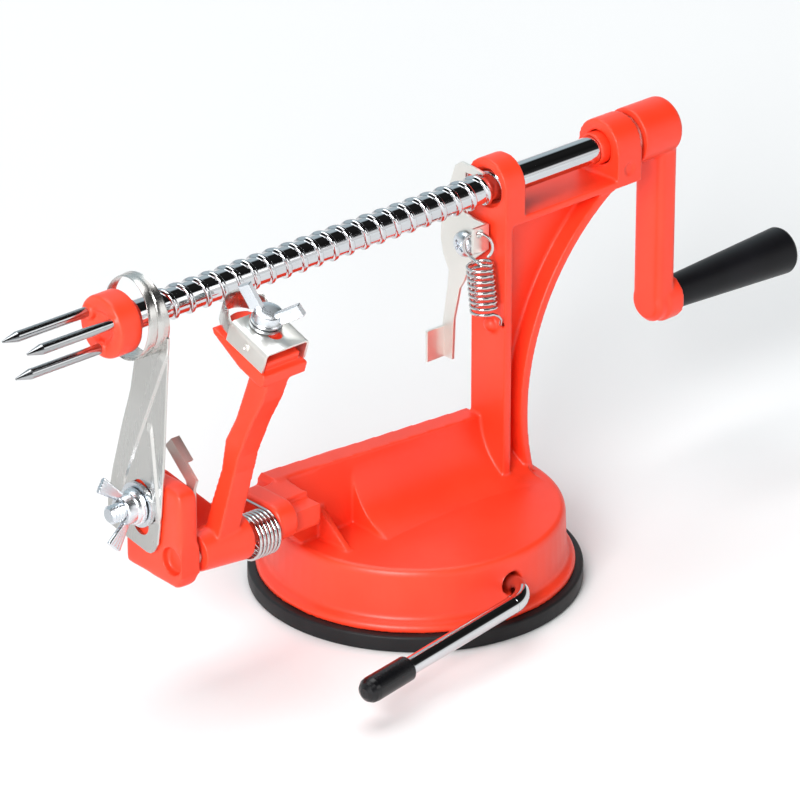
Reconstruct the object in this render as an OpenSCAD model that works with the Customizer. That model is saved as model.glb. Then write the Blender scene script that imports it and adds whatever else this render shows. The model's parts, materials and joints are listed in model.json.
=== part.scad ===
// Crank fruit peeler on a suction base: a feed screw carries the fruit on prongs past a sprung
// peeling arm and through a slicer ring. X runs along the screw towards the crank, Z is up, and
// the origin is the centre of the pad's underside.

/* [Base] */
// Outer diameter of the rubber pad
pad_d = 104; // [100:1:110]
// Height of the pad rim under the housing
pad_rim_h = 5.5; // [5:0.5:7]
// Width of the slope from the pad's rim to its thin middle
pad_ring_w = 8; // [6:1:10]
// Thickness of the pad's flexible middle
pad_skin_t = 2.2; // [1.8:0.2:2.6]
// Diameter of the housing flange
flange_d = 99; // [96:1:100]
// Diameter of the dome wall
dome_d = 93; // [90:1:94]
// Height of the dome shoulder
dome_h = 25; // [24:0.5:26]
// Wall thickness of the moulded housing
wall = 2.6; // [2.2:0.2:3]

/* [Bridge] */
// Far side of the bridge wall
bridge_far_y = 9.2; // [8.6:0.2:10]
// Thickness of the bridge wall
bridge_t = 7.2; // [6:0.4:8]
// Bridge height at its front end
bridge_front_z = 50; // [48:0.5:52]
// Bridge height at the post
bridge_back_z = 44.5; // [43:0.5:47]
// Front end of the bridge wall
bridge_front_x = -56; // [-58:0.5:-54]
// Radius of the hollow sweep from the bridge wall down to the dome
apron_r = 20; // [17:1:22]
// Front end of the sweep
apron_front_x = -24; // [-28:1:-18]
// Depth of the forward beam
beam_h = 9.5; // [8:0.5:10]
// Height of the forward beam's top
beam_top_z = 46.5; // [45:0.5:47]

/* [Column] */
// Height of the screw axis
shaft_z = 122; // [120:1:124]
// Front face of the post
post_x = 29; // [28:0.5:31]
// Thickness of the post's head along the screw
post_t = 8.2; // [7.4:0.2:9]
// Width of the post
post_w = 17.6; // [17:0.2:18.4]
// Rise of the post's rounded head over the screw axis
head_rise = 0.6; // [0.4:0.1:1]
// Thickness of the post below its head
flange_t = 3; // [2.4:0.2:3.6]
// Front face of the rear bearing
bearing_x = 76; // [74:1:78]
// Length of the rear bearing
bearing_t = 10; // [9:0.5:11]
// Width of the rear bearing
bearing_w = 18; // [17:0.2:19]
// Drop from the screw axis to the top of the tie beam
tie_drop = 9; // [8:0.5:10]
// Thickness of the tie beam
tie_t = 2.4; // [2:0.2:3]
// Radius of the arched rib
arch_r = 76; // [74:0.5:80]
// Reach of the arched rib's foot behind the post's face
arch_foot = 10.6; // [10:0.2:12]
// Thickness of the arched rib
arch_t = 3; // [2.4:0.2:4]
// Thickness of the web inside the arch
web_t = 4; // [3:0.5:5]

/* [Front boss] */
// Front face of the boss that carries the slicer
boss_x = -106; // [-108:0.5:-104]
// Thickness of the boss
boss_t = 7.2; // [6.4:0.2:8]
// Near side of the boss
boss_near_y = -15; // [-16:0.5:-14.5]
// Far side of the boss
boss_far_y = 11.2; // [10:0.4:12]
// Underside of the boss
boss_low_z = 36; // [35:0.5:37]
// Top of the boss
boss_top_z = 68.5; // [67.5:0.5:69.5]
// Arm pivot, measured across
pivot_y = -10.5; // [-11:0.25:-10]
// Arm pivot, measured up
pivot_z = 45; // [44.5:0.5:45.5]
// Slicer stud, measured across
stud_y = 1.8; // [1.5:0.1:2.2]
// Slicer stud, measured up
stud_z = 60; // [59:0.5:60.5]

/* [Feed screw] */
// Diameter of the screw's plain rod
shaft_d = 8.7; // [8.5:0.1:8.9]
// Diameter over the thread
thread_d = 10.3; // [10.1:0.1:10.6]
// Lead of the thread
pitch = 6.16; // [6:0.04:6.4]
// Width of the thread at its crest
crest_w = 1.3; // [1.1:0.1:1.6]
// Width of the thread at its root
root_w = 2.3; // [2:0.1:2.6]
// Plain length of rod between the fork head and the thread
thread_start = 8; // [7:0.5:11]
// Rear end of the thread
thread_rear_x = 35; // [33:0.5:37]
// Front face of the fork head
fork_x = -122; // [-123:0.5:-121]
// Length of the fork head
fork_len = 11; // [10:0.5:12]
// Length of the fork's wide head, before its neck
head_len = 8.2; // [7:0.2:9]
// Diameter of the fork head
fork_d = 19.2; // [18.8:0.1:19.4]
// Diameter of a prong
prong_d = 3.2; // [2.8:0.1:3.4]
// Free length of a prong
prong_len = 31; // [28:0.5:33]
// Diameter of the circle of prongs
prong_circle = 13; // [12:0.2:13.2]

/* [Crank] */
// Diameter of the crank hub
hub_d = 18.2; // [17.6:0.2:19]
// Length of the crank hub
hub_len = 16.8; // [16:0.4:18]
// Crank radius
crank_r = 59.5; // [56:0.5:62]
// Width of the crank bar
bar_w = 12.2; // [11.6:0.2:13]
// Thickness of the crank bar
bar_t = 8; // [7:0.5:9]
// Length of the grip
grip_len = 51; // [48:1:54]
// Small diameter of the grip
grip_d0 = 10.6; // [10:0.2:11.4]
// Large diameter of the grip
grip_d1 = 15.6; // [15:0.2:16.8]
// Diameter of the grip pin
pin_d = 5; // [4.4:0.2:5.4]

/* [Peeling arm] */
// Diameter of the arm's hub tube
arm_hub_d = 12; // [11.6:0.2:12.4]
// Width of the arm
arm_w = 8.2; // [7.6:0.2:8.6]
// Diameter of the arm's pivot rod
rod_d = 5; // [4.6:0.2:5.4]
// Slope of the blade bracket
tilt = 19; // [18:0.5:20]
// Width over the blade bracket
bracket_w = 16.6; // [16.2:0.2:17]
// Length of the blade bracket
bracket_len = 16.5; // [16:0.5:17.5]
// Height of the blade bracket
bracket_h = 7; // [6.8:0.1:7.4]
// Thickness of the stainless sheet
sheet_t = 0.8; // [0.7:0.05:0.9]
// Reach of the blade loop beyond the bracket
blade_reach = 9.7; // [9.2:0.1:9.7]
// Travel of the blade bracket along its slot
blade_slide = 2; // [1.6:0.2:2.2]
// Diameter of the blade screw's shank
screw_d = 4; // [3.8:0.1:4.2]

/* [Slicer] */
// Bore of the corer ring
ring_bore = 23.6; // [23.4:0.1:24.4]
// Length of the corer ring
ring_len = 8.6; // [8:0.2:9]
// How far the ring's front edge leans to each side
ring_slant = 2.4; // [1:0.2:2.8]
// Diameter of the slicer stud
stud_d = 6; // [5.6:0.1:6.2]
// Diameter of the stud's washer
washer_d = 14; // [13:0.5:15]

/* [Springs and latches] */
// Wire of the arm spring
arm_wire = 1.05; // [1:0.01:1.06]
// Turns of the arm spring
arm_turns = 6; // [5:1:6]
// Wire of the latch spring
latch_wire = 1; // [0.9:0.05:1.1]
// Turns of the latch spring
latch_turns = 9; // [8:1:9]
// Drop from the screw axis to the feed latch's pivot
latch_drop = 20; // [19.5:0.25:20.5]
// Thickness of the feed latch plate
latch_t = 1; // [0.9:0.05:1.1]

/* [Suction lever] */
// Diameter of the lever rod
lever_d = 5.6; // [5.2:0.1:5.8]
// Height of the lever axis
lever_z = 15.6; // [15.4:0.1:15.8]
// Length of the lever's outer leg
lever_len = 66.4; // [62:0.2:70]
// Diameter of the lever's cap
cap_d = 8; // [7.6:0.2:8.6]
// Length of the lever's cap
cap_len = 19; // [18:0.5:21]
// Throw of the lever's cam
cam_throw = 2; // [1.8:0.1:2]

/* [Clearances] */
// Gap between pieces that move past each other
gap = 0.35; // [0.3:0.05:0.4]
// Radial clearance of a shaft that turns in its bore
run_gap = 0.08; // [0.05:0.01:0.1]
// Radial clearance of a piece seated for good
seat_gap = 0.02; // [0.01:0.01:0.03]

/* [Hidden] */
$fn = 48;
c_red = [0.93, 0.2, 0.13];
c_black = [0.06, 0.06, 0.07];
c_steel = [0.78, 0.77, 0.74];
c_chrome = [0.85, 0.86, 0.88];
eps = 0.5;
pad_r = pad_d / 2;
flange_r = flange_d / 2;
dome_r = dome_d / 2;
cav_r = dome_r - wall;
flange_z = pad_rim_h + 2.6;
dome_edge = 1.8;
bridge_near_y = bridge_far_y - bridge_t;
shaft_r = shaft_d / 2;
thread_r = thread_d / 2;
post_r = post_w / 2;
bore_r = thread_r + gap;
bearing_end = bearing_x + bearing_t;
tie_z = shaft_z - tie_drop;
arch_mid_z = shaft_z - 76;
arch_cx = post_x + arch_foot + arch_r;
post_far_y = post_r - 2.2;
bearing_r = bearing_w / 2;
boss_end = boss_x + boss_t;
rod_r = rod_d / 2;
stud_r = stud_d / 2;
lug_x = -68.8;
lug_t = 7.5;
lug_r = 6.2;
rod_in = 3.4;
// feed screw
fork_r = fork_d / 2;
fork_seat = 4;
thread_front_x = fork_x + fork_len + thread_start;
prong_r = prong_d / 2;
prong_cone = 5;
prong_root = head_len - 1.4;
neck_r = shaft_r + 1.8;
prong_seat_r = prong_r + 0.8;
washer_x = bearing_end + gap;
thrust_t = 1.6;
hub_x = washer_x + thrust_t + gap;
hub_r = hub_d / 2;
sleeve_r = thread_r;
sleeve_x = bearing_x - 3.4;
hub_end = hub_x + hub_len;
shaft_end = hub_end - 3;
grip_z = shaft_z - crank_r;
bar_end = hub_end + 0.3;
bar_x = bar_end - bar_t;
grip_boss_r = grip_d0 / 2 + 2.1;
grip_boss_end = bar_end + 2.6;
grip_x = grip_boss_end + gap;
grip_end = grip_x + grip_len;
pin_r = pin_d / 2;
pin_end = grip_end - 9;
// feed latch
latch_x = post_x - gap - 1 - latch_t;
latch_mid = latch_x + latch_t / 2;
latch_py = 6.5;
latch_pz = shaft_z - latch_drop;
latch_unit = latch_drop / 20;
latch_screw_r = 2;
latch_head_r = 4.2;
latch_head_t = 2.6;
latch_stand_r = 4.6;
tooth_r = shaft_r + 0.45;
tooth_deg = 68;
ear_y = -2.7;
ear_x = latch_x - 5.4;
ear_hole_r = 1.4;
ear_drop = 19.2;
ear_low = shaft_z - ear_drop;
ear_hole_h = 6.3;
tab_w = 8;
tab_h = 10.4;
tab_y = 17.2;
tab_drop = 61.4;
ear_h = 8.4;
latch_coil_r = 4.05;
latch_spring_x = latch_x - 2.9;
latch_spring_y = -5;
latch_spring_drop = 38.2;
latch_spring_low = [latch_spring_x, latch_spring_y, shaft_z - latch_spring_drop];
latch_lean = 7.6;
latch_coil_len = 15.8;
loop_r = 4.4;
loop_turn = 38;
hook_y = -8.6;
hook_drop = 43.5;
hook_z = shaft_z - hook_drop;
// slicer
plate_x = boss_x - gap - sheet_t;
ring_ro = ring_bore / 2 + sheet_t;
ring_x = plate_x + sheet_t - ring_len;
ring_turn = 50;
washer_t = 1.3;
nut_washer_x = plate_x - gap - washer_t;
nut_len = 5.8;
nut_end = nut_washer_x - gap;
nut_x = nut_end - nut_len;
stud_x = nut_x - 4.4;
stud_head_r = stud_r + 2;
stud_head_t = 2.6;
slot_r = stud_r + 0.45;
slot_half = 5.5;
slot_drop = 1.2;
wing_t = 2.1;
wing_root_r = 3.4;
wing_sink = 1.8;
wing_tip_r = 9.2;
wing_rise = 4.6;
// peeling arm
arm_hub_r = arm_hub_d / 2;
arm_x = -88;
arm_mid_x = arm_x + 5.8;
arm_lean = 4.7;
arm_knee_z = pivot_z + 25;
catch_x = boss_end + gap;
catch_t = 1;
arm_hub_x = catch_x + catch_t + gap;
arm_step_x = arm_x + arm_w;
arm_core_r = rod_r + 1.3;
arm_hub_flare = 1.6;
arm_hub_end = lug_x - gap;
tilt_at = [arm_mid_x, -34, shaft_z - 12.6];
bracket_r = bracket_w / 2;
blade_w = bracket_w - 2 * sheet_t;
tongue_w = blade_w - 2 * sheet_t - 2 * gap;
screw_r = screw_d / 2;
screw_u = 10.6;
tongue_u = 7;
blade_washer_t = 1;
blade_washer_r = 4.8;
blade_nut_v = bracket_h + 2 * gap + blade_washer_t;
blade_nut_h = 4.6;
loop_u = bracket_len + blade_reach - blade_w / 2;
shoe_u = loop_u - blade_slide;
// arm catch
catch_r = rod_r + 2.7;
catch_w = 4.2;
catch_tab_w = 3.2;
catch_tab_len = 8.4;
catch_knee = [0.4, 25.7];
catch_end = [9.7, 33.2];
// suction lever
lever_r = lever_d / 2;
lever_x = -2.3;
lever_tilt = 3;
lever_splay = 6;
lever_bend_r = 10;
bend_swell = 0.06;
bend_lap = 0.4;
lever_out_y = -dome_r + 0.5;
cap_r = cap_d / 2;
cam_r = lever_r + cam_throw + 0.1;
cam_deg = 230;
cam_half = 5.4;
stem_t = 8;
stem_foot_r = 14;
stem_foot_z = pad_skin_t + gap;
stem_slot_h = cam_r + gap + 0.1;
stem_slot_w = cam_r + cam_throw + gap + 0.2;
cam_mid_z = lever_z + cam_throw * sin(cam_deg);
stem_top = cam_mid_z + stem_slot_h + 1.6;
pocket_r = 13.5;
pocket_z = stem_top - 2 * cam_throw * sin(cam_deg) + gap + 0.1;
guide_y = 10;
guide_t = 7;

// Outline drawn in Y and Z, carried along X
module along_x(x0, len) {
  translate([x0, 0, 0])
    rotate([90, 0, 90])
      linear_extrude(len)
        children();
}

// Outline drawn in X and Z, carried along Y
module along_y(y0, len) {
  translate([0, y0 + len, 0])
    rotate([90, 0, 0])
      linear_extrude(len)
        children();
}

// Round bar along X
module rod_x(x0, len, r, y = 0, z = 0) {
  translate([x0, y, z])
    rotate([0, 90, 0])
      cylinder(h = len, r = r);
}

// Round bar along Y
module rod_y(y0, len, r, x = 0, z = 0) {
  translate([x, y0 + len, z])
    rotate([90, 0, 0])
      cylinder(h = len, r = r);
}

// Round ring along X
module ring_along_x(x0, len, ro, ri, y = 0, z = 0) {
  difference() {
    rod_x(x0, len, ro, y, z);
    rod_x(x0 - eps, len + 2 * eps, ri, y, z);
  }
}

// Slot with round ends, drawn flat, long in the second direction
module slot_2d(r, half) {
  translate([0, half])
    circle(r);
  translate([0, -half])
    circle(r);
  translate([-r, -half])
    square([2 * r, 2 * half]);
}

// Rectangle with round corners, centred
module round_rect_2d(w, d, r) {
  square([w - 2 * r, d], center = true);
  square([w, d - 2 * r], center = true);
  for (sx = [-1, 1], sy = [-1, 1])
    translate([sx * (w / 2 - r), sy * (d / 2 - r)])
      circle(r);
}

// Frame of the blade bracket: X across, Y towards the screw, Z off the arm
module on_bracket() {
  translate(tilt_at)
    rotate([tilt, 0, 0])
      children();
}

module dome() {
  rotate_extrude()
    polygon([[0, pad_rim_h], [flange_r, pad_rim_h], [flange_r, flange_z - 1], [flange_r - 0.9, flange_z],
             [dome_r + 0.8, flange_z + 0.6], [dome_r + 0.3, flange_z + 1.6], [dome_r - 0.2, dome_h - dome_edge],
             [dome_r - 0.7, dome_h - dome_edge / 3], [dome_r - dome_edge, dome_h], [0, dome_h + 1]]);
}

module dome_cavity() {
  translate([0, 0, pad_rim_h - eps])
    cylinder(h = dome_h - wall - pad_rim_h + eps, r = cav_r);
  cylinder(h = pocket_z, r = pocket_r);
}

module bridge() {
  along_y(bridge_near_y, bridge_t)
    polygon([[bridge_front_x, beam_top_z - beam_h], [bridge_front_x, bridge_front_z - 1.5],
             [bridge_front_x + 1.5, bridge_front_z], [post_x + eps, bridge_back_z],
             [post_x + eps, dome_h - wall],
             [-dome_r + 5, dome_h - wall]]);
  along_x(apron_front_x, post_x + arch_foot - apron_front_x)
    difference() {
      translate([bridge_near_y - apron_r, dome_h - wall])
        square([apron_r + eps, apron_r + wall - 1]);
      translate([bridge_near_y - apron_r, dome_h + apron_r])
        circle(apron_r);
    }
  along_x(-38, 2)
    polygon([[bridge_near_y + eps, dome_h - wall], [bridge_near_y + eps, dome_h + 11],
             [-11, dome_h + 0.5], [-11, dome_h - wall]]);
  translate([boss_end - eps, bridge_near_y, beam_top_z - beam_h])
    cube([bridge_front_x - boss_end + 2 * eps, bridge_t, beam_h]);
  along_y(bridge_near_y, bridge_t)
    polygon([[boss_end - eps, beam_top_z - eps], [boss_end - eps, boss_top_z - 1.5],
             [boss_end + 2.5, boss_top_z - 1.5], [boss_end + 23, beam_top_z],
             [boss_end + 23, beam_top_z - eps]]);
}

module lug() {
  along_x(lug_x, lug_t) {
    translate([pivot_y, pivot_z])
      circle(lug_r);
    translate([pivot_y, pivot_z - lug_r])
      square([bridge_near_y + eps - pivot_y, 2 * lug_r]);
  }
  along_x(lug_x + lug_t - eps, bridge_front_x - lug_x - lug_t + 6)
    polygon([[pivot_y - 3, pivot_z - lug_r + 0.6], [pivot_y - 3, pivot_z + 1.5], [pivot_y + 3, pivot_z + 1.5],
             [pivot_y + 3, pivot_z + 3.5], [bridge_near_y + eps, bridge_front_z - 0.5],
             [bridge_near_y + eps, pivot_z - lug_r + 0.6]]);
}

module front_boss() {
  along_x(boss_x, boss_t)
    polygon([[boss_near_y + 3.5, boss_low_z], [boss_far_y, boss_low_z + 1], [boss_far_y, boss_top_z - 3],
             [boss_far_y - 3, boss_top_z], [boss_near_y + 4.2, boss_top_z],
             [boss_near_y + 1.2, boss_top_z - 0.8], [boss_near_y, boss_top_z - 2.6],
             [boss_near_y, boss_low_z + 4], [boss_near_y + 1, boss_low_z + 1.4]]);
}

module bearing_2d(r, drop, rise = 0) {
  translate([-r, shaft_z - drop])
    square([2 * r, drop + rise]);
  translate([0, shaft_z + rise])
    circle(r);
}

module column() {
  along_x(post_x, post_t)
    bearing_2d(post_r, tie_drop + tie_t, head_rise);
  along_x(post_x, flange_t)
    polygon([[-post_r, dome_h - wall], [-post_r, tie_z], [post_r, tie_z], [post_far_y, tie_z - 26],
             [post_far_y, dome_h - wall]]);
  along_x(bearing_x, bearing_t)
    bearing_2d(bearing_r, tie_drop + tie_t);
  translate([post_x + eps, -post_r, tie_z - tie_t])
    cube([bearing_x - post_x, post_w, tie_t]);
  along_y(-web_t / 2, web_t)
    difference() {
      translate([post_x + eps, dome_h - wall])
        square([bearing_x - post_x, tie_z - dome_h + wall - eps]);
      translate([arch_cx, arch_mid_z])
        circle(arch_r + eps);
    }
  along_y(-post_r + 0.4, post_far_y + post_r - 0.4)
    intersection() {
      translate([post_x + flange_t, dome_h - wall])
        square([bearing_x - post_x, tie_z - dome_h + wall - eps]);
      difference() {
        translate([arch_cx, arch_mid_z])
          circle(arch_r + arch_t);
        translate([arch_cx, arch_mid_z])
          circle(arch_r);
      }
    }
  rod_x(latch_x + latch_t + gap, post_x - latch_x - latch_t, latch_stand_r, latch_py, latch_pz);
  translate([post_x, -2.7, hook_z - 1])
    sphere(2.6);
}

module base_housing() {
  color(c_red)
    difference() {
      union() {
        dome();
        bridge();
        lug();
        front_boss();
        column();
      }
      dome_cavity();
      rod_x(post_x - 1, bearing_end - post_x + 2, bore_r, 0, shaft_z);
      rod_x(post_x - 1, 2.4, bore_r + 0.9, 0, shaft_z);
      rod_x(boss_x + rod_in, lug_x + lug_t - boss_x - 2 * rod_in, rod_r + seat_gap, pivot_y, pivot_z);
      rod_x(boss_x - 1, rod_in, rod_r + 1.8, pivot_y, pivot_z);
      rod_x(boss_x - 1, boss_t + 2, stud_r + seat_gap, stud_y, stud_z);
      rod_x(boss_end, stud_head_t + gap, stud_head_r + gap, stud_y, stud_z);
      rod_x(latch_x, post_x + flange_t - latch_x - 0.6, latch_screw_r + seat_gap, latch_py, latch_pz);
      rod_x(post_x - 1, flange_t + 2, latch_wire / 2 + gap, hook_y + 1.2, hook_z);
      rod_y(-dome_r - 2, 12, lever_r + 1.1, lever_x, lever_z);
      rod_y(-bearing_r - 1, 1.6, 2.2, bearing_x + bearing_t / 2, shaft_z - 6);
    }
  color(c_red)
    difference() {
      translate([lever_x - 6, guide_y, lever_z - 6])
        cube([12, guide_t, dome_h - lever_z + 5]);
      rod_y(guide_y - 1, guide_t + 2, lever_r + run_gap, lever_x, lever_z);
    }
}

module suction_pad() {
  color(c_black)
    rotate_extrude()
      polygon([[0, 0], [pad_r - 0.6, 0], [pad_r, 0.8], [pad_r, pad_rim_h - 1.6], [pad_r - 1.2, pad_rim_h],
               [cav_r - 1, pad_rim_h], [cav_r - pad_ring_w, pad_skin_t], [0, pad_skin_t]]);
}

module pull_stem() {
  color(c_steel)
    difference() {
      union() {
        translate([0, 0, stem_foot_z])
          cylinder(h = 2, r = stem_foot_r);
        translate([lever_x - stem_slot_w - 2, -stem_t / 2, stem_foot_z])
          cube([2 * stem_slot_w + 4, stem_t, stem_top - stem_foot_z]);
      }
      translate([lever_x - stem_slot_w, -stem_t, cam_mid_z - stem_slot_h])
        cube([2 * stem_slot_w, 2 * stem_t, 2 * stem_slot_h]);
    }
}

// Frame of the lever: turned to the slope of its outer leg
module on_lever() {
  translate([lever_x, 0, lever_z])
    rotate([0, -lever_tilt, 0])
      children();
}

// Frame of the outer leg: starts at the end of the bend and runs along -X
module on_leg() {
  on_lever()
    translate([-lever_bend_r, lever_out_y, 0])
      rotate([0, 0, lever_splay])
        translate([0, -lever_bend_r, 0])
          children();
}

module suction_lever() {
  color(c_chrome) {
    on_lever() {
      rod_y(lever_out_y - bend_lap, guide_y + guide_t - lever_out_y - 0.3, lever_r);
      translate([-lever_bend_r, lever_out_y, 0])
        rotate([0, 0, lever_splay - 90])
          rotate_extrude(angle = 90 - lever_splay)
            translate([lever_bend_r, 0])
              circle(lever_r + bend_swell);
    }
    on_leg()
      rod_x(-lever_len + cap_len / 2, lever_len - cap_len / 2 + bend_lap, lever_r);
    rod_y(-cam_half, 2 * cam_half, cam_r, lever_x + cam_throw * cos(cam_deg), cam_mid_z);
  }
}

module lever_cap() {
  color(c_black)
    on_leg()
      translate([-lever_len, 0, 0])
        rotate([0, 90, 0])
          difference() {
            rotate_extrude()
              polygon([[0, 0], [cap_r * 0.4, 0.1], [cap_r * 0.75, 0.9], [cap_r * 0.95, 2.2], [cap_r, 3.6],
                       [cap_r - 0.1, cap_len - 0.5], [cap_r - 0.5, cap_len], [0, cap_len]]);
            translate([0, 0, cap_len / 2 - seat_gap])
              cylinder(h = cap_len, r = lever_r + seat_gap);
          }
}

module screw_shaft() {
  color(c_chrome)
    rod_x(fork_x + fork_seat, shaft_end - fork_x - fork_seat, shaft_r, 0, shaft_z);
}

// Thread ridge: one closed ridge of four-sided section wound on the rod
thread_steps = 16;
thread_turns = (thread_rear_x - thread_front_x) / pitch;
thread_n = floor(thread_turns * thread_steps);
ridge_x0 = latch_mid - pitch / 2 - pitch * tooth_deg / 360;
thread_k0 = ceil((thread_front_x - ridge_x0) / pitch * thread_steps);
thread_foot = shaft_r - 0.15;

function ridge_at(k) = [ridge_x0 + pitch * k / thread_steps, 360 * k / thread_steps];
function ridge_point(p, dx, r) = [p[0] + dx, r * cos(p[1]), shaft_z + r * sin(p[1])];

module screw_thread() {
  pts = [for (i = [0:thread_n])
           let (p = ridge_at(thread_k0 + i))
             each [ridge_point(p, -root_w / 2, thread_foot), ridge_point(p, root_w / 2, thread_foot),
                   ridge_point(p, crest_w / 2, thread_r), ridge_point(p, -crest_w / 2, thread_r)]];
  sides = [for (i = [0:thread_n - 1], j = [0:3])
             let (a = 4 * i + j, b = 4 * i + (j + 1) % 4)
               each [[a, a + 4, b], [b, a + 4, b + 4]]];
  last = 4 * thread_n;
  caps = [[0, 1, 2], [0, 2, 3], [last, last + 2, last + 1], [last, last + 3, last + 2]];
  color(c_chrome)
    polyhedron(pts, concat(sides, caps));
}

module at_prongs() {
  for (a = [30, 150, 270])
    translate([0, prong_circle / 2 * cos(a), shaft_z + prong_circle / 2 * sin(a)])
      children();
}

module fork_head() {
  color(c_red)
    difference() {
      union() {
        rod_x(fork_x, head_len, fork_r, 0, shaft_z);
        rod_x(fork_x + head_len - eps, fork_len - head_len + eps, neck_r, 0, shaft_z);
      }
      rod_x(fork_x + fork_seat, fork_len, shaft_r + seat_gap, 0, shaft_z);
      rod_x(fork_x - 1, 2.6, prong_circle / 2 - 1.4, 0, shaft_z);
      at_prongs() {
        rod_x(fork_x - 1, 2.6, prong_seat_r);
        rod_x(fork_x - 1, prong_root + 1, prong_r + seat_gap);
      }
    }
}

module fork_prongs() {
  color(c_chrome)
    at_prongs() {
      rod_x(fork_x - prong_len + prong_cone, prong_len - prong_cone + prong_root, prong_r);
      translate([fork_x - prong_len, 0, 0])
        rotate([0, 90, 0])
          cylinder(h = prong_cone, r1 = 0.35, r2 = prong_r);
    }
}

module thrust_washer() {
  color(c_steel)
    ring_along_x(washer_x, thrust_t, sleeve_r + 2.2, sleeve_r + run_gap, 0, shaft_z);
}

module crank_arm() {
  color(c_red)
    difference() {
      union() {
        rod_x(sleeve_x, hub_x - sleeve_x + eps, sleeve_r, 0, shaft_z);
        rod_x(hub_x, hub_len - 1.8, hub_r, 0, shaft_z);
        translate([hub_end - 1.8, 0, shaft_z])
          rotate([0, 90, 0])
            cylinder(h = 1.8, r1 = hub_r, r2 = hub_r - 1.8);
        translate([bar_x + bar_t / 2, 0, grip_z])
          linear_extrude(crank_r)
            round_rect_2d(bar_t, bar_w, 2.4);
        rod_x(bar_x + 1.6, bar_t - 1.6, bar_w / 2 + 0.5, 0, grip_z);
        translate([bar_x, 0, grip_z])
          rotate([0, 90, 0])
            cylinder(h = 1.6, r1 = bar_w / 2 - 1.1, r2 = bar_w / 2 + 0.5);
        rod_x(bar_end - 3.4, grip_boss_end - bar_end + 3.4, grip_boss_r, 0, grip_z);
      }
      rod_x(sleeve_x - 1, shaft_end - sleeve_x + 1, shaft_r + seat_gap, 0, shaft_z);
      rod_x(bar_x + 2, bar_t + 5, pin_r + seat_gap, 0, grip_z);
    }
}

module grip_pin() {
  color(c_steel)
    rod_x(bar_x + 2, pin_end - bar_x - 2, pin_r, 0, grip_z);
}

module grip() {
  color(c_black)
    translate([grip_x, 0, grip_z])
      rotate([0, 90, 0])
        difference() {
          rotate_extrude()
            polygon([[0, 0], [grip_d0 / 2 - 0.5, 0], [grip_d0 / 2, 0.6], [grip_d1 / 2, grip_len - 1.2],
                     [grip_d1 / 2 - 0.4, grip_len - 0.4], [grip_d1 / 2 - 1.2, grip_len], [0, grip_len]]);
          translate([0, 0, -1])
            cylinder(h = pin_end - grip_x + gap + 1, r = pin_r + run_gap);
        }
}

// Latch plate, with the screw axis at the middle, drawn for a pivot 20 below it
module feed_latch_2d() {
  difference() {
    polygon(latch_unit * [[11.7, 4.3], [14.2, -2.6], [17.6, -14.4], [18.1, -21.5], [17, -26.6], [14.4, -31.5],
                          [14.9, -37], [17.2, -51], [17.2, -61.4], [12.6, -61.4], [12, -47.7], [10.4, -40.7],
                          [9.4, -36.2], [7.4, -33], [4, -25], [-2.7, -19.2], [-2.7, -10.8], [3.6, -10.8],
                          [7.1, -10.2],
                          [8.3, -9], [7, 0], [7, 4.3]]);
    circle(thread_r + 2 * gap);
    translate([latch_py, -latch_drop])
      circle(latch_screw_r + run_gap);
  }
  difference() {
    polygon(latch_unit * [[-0.6, 3.6], [7.5, 3.4], [11.7, 4.3], [9, 6.3], [2, 6], [-0.6, 5.6]]);
    circle(tooth_r);
  }
}

module feed_latch() {
  color(c_steel) {
    along_x(latch_x, latch_t)
      translate([0, shaft_z])
        feed_latch_2d();
    difference() {
      translate([ear_x, ear_y, ear_low])
        cube([latch_x - ear_x + latch_t, latch_t, ear_h]);
      rod_y(ear_y - 1, latch_t + 2, ear_hole_r, latch_spring_x, ear_low + ear_hole_h);
    }
    translate([latch_x + latch_t - tab_w, tab_y - latch_t, shaft_z - tab_drop])
      cube([tab_w, latch_t, tab_h]);
  }
}

module latch_screw() {
  color(c_chrome)
    difference() {
      union() {
        rod_x(latch_x - gap, post_x + flange_t - latch_x - 0.8, latch_screw_r, latch_py, latch_pz);
        translate([latch_x - gap, latch_py, latch_pz])
          rotate([0, -90, 0])
            rotate_extrude()
              polygon([[0, 0], [latch_head_r, 0], [latch_head_r, 1], [latch_head_r - 0.7, 1.9],
                       [latch_head_r - 2, latch_head_t], [0, latch_head_t]]);
      }
      translate([latch_x - gap - latch_head_t, latch_py, latch_pz])
        rotate([45, 0, 0]) {
          cube([2.4, 4.4, 0.9], center = true);
          cube([2.4, 0.9, 4.4], center = true);
        }
    }
}

// Wire forms: points along the middle of the wire, then a six-sided tube round them
function unit(v) = v / norm(v);
function tangents(p) = [for (i = [0:len(p) - 1])
                          unit(p[min(i + 1, len(p) - 1)] - p[max(i - 1, 0)])];
function carried(n, t) = unit(n - (n * t) * t);
function normals(t, n0) = [for (i = 0, n = carried(n0, t[0]); i < len(t);
                                i = i + 1, n = carried(n, t[min(i, len(t) - 1)])) n];
function least_gap(p, skip, d) = min([for (i = [0:len(p) - 1], j = [i + skip:1:len(p) - 1])
                                        norm(p[i] - p[j])]) - d;

module wire(p, d, n0) {
  t = tangents(p);
  n = normals(t, n0);
  sides = 6;
  pts = [for (i = [0:len(p) - 1], j = [0:sides - 1])
           let (a = 360 * j / sides)
             p[i] + d / 2 * (cos(a) * n[i] + sin(a) * cross(t[i], n[i]))];
  skin = [for (i = [0:len(p) - 2], j = [0:sides - 1])
            let (a = sides * i + j, b = sides * i + (j + 1) % sides)
              each [[a, b, a + sides], [b, b + sides, a + sides]]];
  last = sides * (len(p) - 1);
  caps = [for (j = [1:sides - 2]) each [[0, j + 1, j], [last, last + j, last + j + 1]]];
  polyhedron(pts, concat(skin, caps));
}

rings = 8;
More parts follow.
